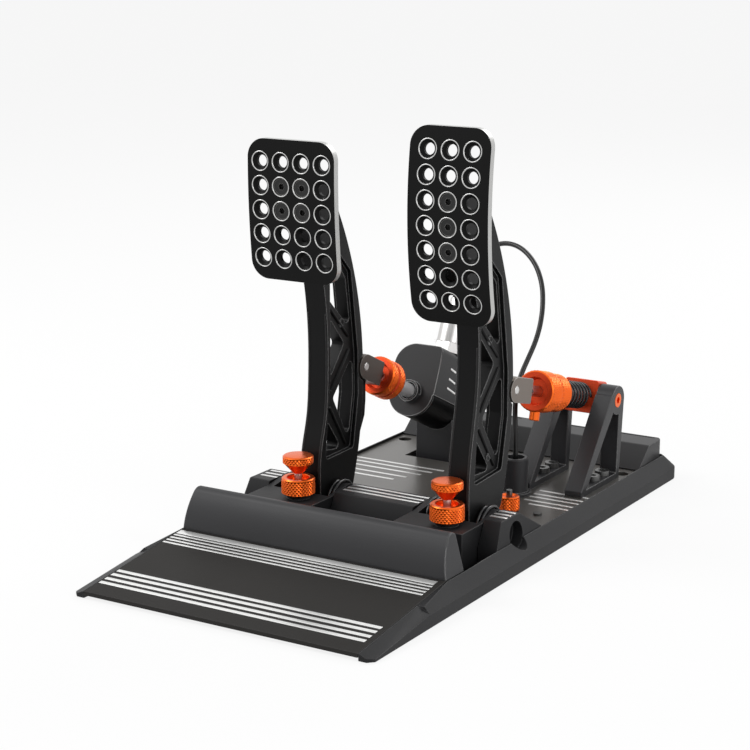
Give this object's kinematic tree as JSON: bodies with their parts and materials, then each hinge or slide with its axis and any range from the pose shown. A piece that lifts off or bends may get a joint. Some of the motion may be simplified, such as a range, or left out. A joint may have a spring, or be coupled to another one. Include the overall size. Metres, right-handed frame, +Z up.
{
  "type": "sim racing pedal set",
  "caption": "Brake and throttle pedals on one base, with hydraulic cylinder, sprung throttle line and knurled adjusters",
  "frame": {"origin": "on the floor under the middle of the base", "axes": "+X to the driver's right, +Y rearward away from the driver, +Z up"},
  "size_m": [0.23, 0.466, 0.3005],
  "materials": {
    "cast_black": "black powder coat, satin",
    "footrest": "black satin coat with pale stripes",
    "ridge": "black satin coat",
    "deck": "black satin coat with pale stripes",
    "arm_black": "black satin coat",
    "plate_black": "black anodised with bright machined edges",
    "bracket_black": "dark grey satin coat",
    "cover_grey": "dark grey satin coat",
    "orange_anodised": "knurled, orange anodised",
    "trunnion_red": "red anodised, satin",
    "spring_black": "black coated wire",
    "clevis_steel": "brushed, warm grey",
    "steel": "satin steel",
    "chrome_rod": "polished",
    "black_steel": "black oxide",
    "piston_alloy": "machined",
    "rubber": "matt black",
    "cable_jacket": "satin black jacket",
    "board_green": "green circuit board"
  },
  "bodies": {
    "base": {"base_fasteners": "steel", "base_tray": "cast_black", "brake_elastomers": "rubber", "brake_pivot_block": "cast_black", "bump_pads": "rubber", "cable_grommet": "rubber", "cable_post": "bracket_black", "control_board": "board_green", "cylinder_barrel": "cover_grey", "cylinder_cap": "cover_grey", "cylinder_cover": "cover_grey", "cylinder_cradle": "bracket_black", "deck_plate": "deck", "footrest_plate": "footrest", "heel_ridge": "ridge", "pivot_beam": "cast_black", "pivot_bearings": "steel", "pressure_sensor": "steel", "rear_cover": "cast_black", "return_springs": "spring_black", "sensor_cable": "cable_jacket", "throttle_bracket_left": "bracket_black", "throttle_bracket_right": "bracket_black", "throttle_pivot_block": "cast_black", "throttle_sensor": "board_green", "trunnion_bolts": "orange_anodised", "usb_socket": "steel"},
    "brake_pedal": {"brake_arm": "arm_black", "brake_plate": "plate_black", "brake_plate_screws": "black_steel", "brake_axle": "steel", "brake_clevis_pin": "steel"},
    "brake_rod": {"brake_clevis": "clevis_steel", "brake_lock_nut": "black_steel", "brake_push_rod": "chrome_rod"},
    "brake_knob": {"brake_preload_knob": "orange_anodised"},
    "brake_pistons": {"brake_pistons": "piston_alloy", "piston_seals": "rubber"},
    "throttle_pedal": {"throttle_arm": "arm_black", "throttle_plate": "plate_black", "throttle_plate_screws": "black_steel", "throttle_axle": "steel", "throttle_magnet": "steel", "throttle_clevis_pin": "steel"},
    "throttle_rod": {"throttle_clevis": "clevis_steel", "throttle_lock_nut": "black_steel", "throttle_push_rod": "steel", "throttle_spring": "spring_black", "throttle_spring_seat": "steel"},
    "throttle_front_nut": {"throttle_front_nut": "orange_anodised", "throttle_set_screw": "orange_anodised"},
    "throttle_rear_nut": {"throttle_rear_nut": "orange_anodised"},
    "trunnion": {"throttle_trunnion": "trunnion_red"},
    "brake_stop": {"brake_stop_screw": "steel", "brake_stop_knob": "orange_anodised"},
    "brake_stop_nut": {"brake_stop_nut": "orange_anodised"},
    "throttle_stop": {"throttle_stop_screw": "steel", "throttle_stop_knob": "orange_anodised"},
    "throttle_stop_nut": {"throttle_stop_nut": "orange_anodised"},
    "clamp_nut": {"clamp_nut": "orange_anodised"}
  },
  "joints": [
    {"name": "brake_pivot", "type": "hinge", "parent": "base", "child": "brake_pedal", "pos_m": [-0.05, -0.0275, 0.0215], "axis": [-1, 0, 0], "range_deg": [0, 8], "stiffness_Nm_per_rad": 40, "springref_deg": -2.86},
    {"name": "throttle_pivot", "type": "hinge", "parent": "base", "child": "throttle_pedal", "pos_m": [0.07, -0.0275, 0.0215], "axis": [-1, 0, 0], "range_deg": [0, 13], "stiffness_Nm_per_rad": 12, "springref_deg": -5.73},
    {"name": "brake_rod_pin", "type": "hinge", "parent": "brake_pedal", "child": "brake_rod", "pos_m": [-0.05, 0.014, 0.113], "axis": [1, 0, 0], "range_deg": [0, 8.5]},
    {"name": "brake_piston_slide", "type": "slide", "parent": "base", "child": "brake_pistons", "axis": [0, 0.9073, -0.4205], "range_m": [0, 0.0141], "deforming": ["brake_elastomers"]},
    {"name": "throttle_rod_pin", "type": "hinge", "parent": "throttle_pedal", "child": "throttle_rod", "pos_m": [0.07, 0.019, 0.11], "axis": [1, 0, 0], "range_deg": [0, 16.7], "deforming": ["throttle_spring"]},
    {"name": "trunnion_pin", "type": "hinge", "parent": "base", "child": "trunnion", "pos_m": [0.07, 0.1485, 0.077], "axis": [1, 0, 0], "range_deg": [0, 3.7]},
    {"name": "brake_knob_turn", "type": "hinge", "parent": "brake_rod", "child": "brake_knob", "pos_m": [-0.05, 0.05165, 0.09555], "axis": [0, 0.9073, -0.4205], "continuous": true},
    {"name": "front_nut_turn", "type": "hinge", "parent": "throttle_rod", "child": "throttle_front_nut", "pos_m": [0.07, 0.07327, 0.09617], "axis": [0, 0.969, -0.2469], "continuous": true},
    {"name": "rear_nut_turn", "type": "hinge", "parent": "throttle_rod", "child": "throttle_rear_nut", "pos_m": [0.07, 0.08974, 0.09197], "axis": [0, 0.969, -0.2469], "continuous": true},
    {"name": "brake_stop_turn", "type": "hinge", "parent": "base", "child": "brake_stop", "pos_m": [-0.05, -0.063, 0.054], "axis": [0, 0, 1], "continuous": true},
    {"name": "brake_stop_nut_turn", "type": "hinge", "parent": "base", "child": "brake_stop_nut", "pos_m": [-0.05, -0.063, 0.042], "axis": [0, 0, 1], "continuous": true},
    {"name": "throttle_stop_turn", "type": "hinge", "parent": "base", "child": "throttle_stop", "pos_m": [0.07, -0.063, 0.054], "axis": [0, 0, 1], "continuous": true},
    {"name": "throttle_stop_nut_turn", "type": "hinge", "parent": "base", "child": "throttle_stop_nut", "pos_m": [0.07, -0.063, 0.042], "axis": [0, 0, 1], "continuous": true},
    {"name": "clamp_nut_turn", "type": "hinge", "parent": "base", "child": "clamp_nut", "pos_m": [0.07, 0.0275, 0.024], "axis": [0, 0, 1], "continuous": true}
  ],
  "couplings": [
    {"joint": "brake_rod_pin", "follows": "brake_pivot", "ratio": 1.05},
    {"joint": "brake_piston_slide", "follows": "brake_pivot", "m_per_rad": 0.10025},
    {"joint": "throttle_rod_pin", "follows": "throttle_pivot", "ratio": 1.2794},
    {"joint": "trunnion_pin", "follows": "throttle_pivot", "ratio": 0.2794}
  ]
}
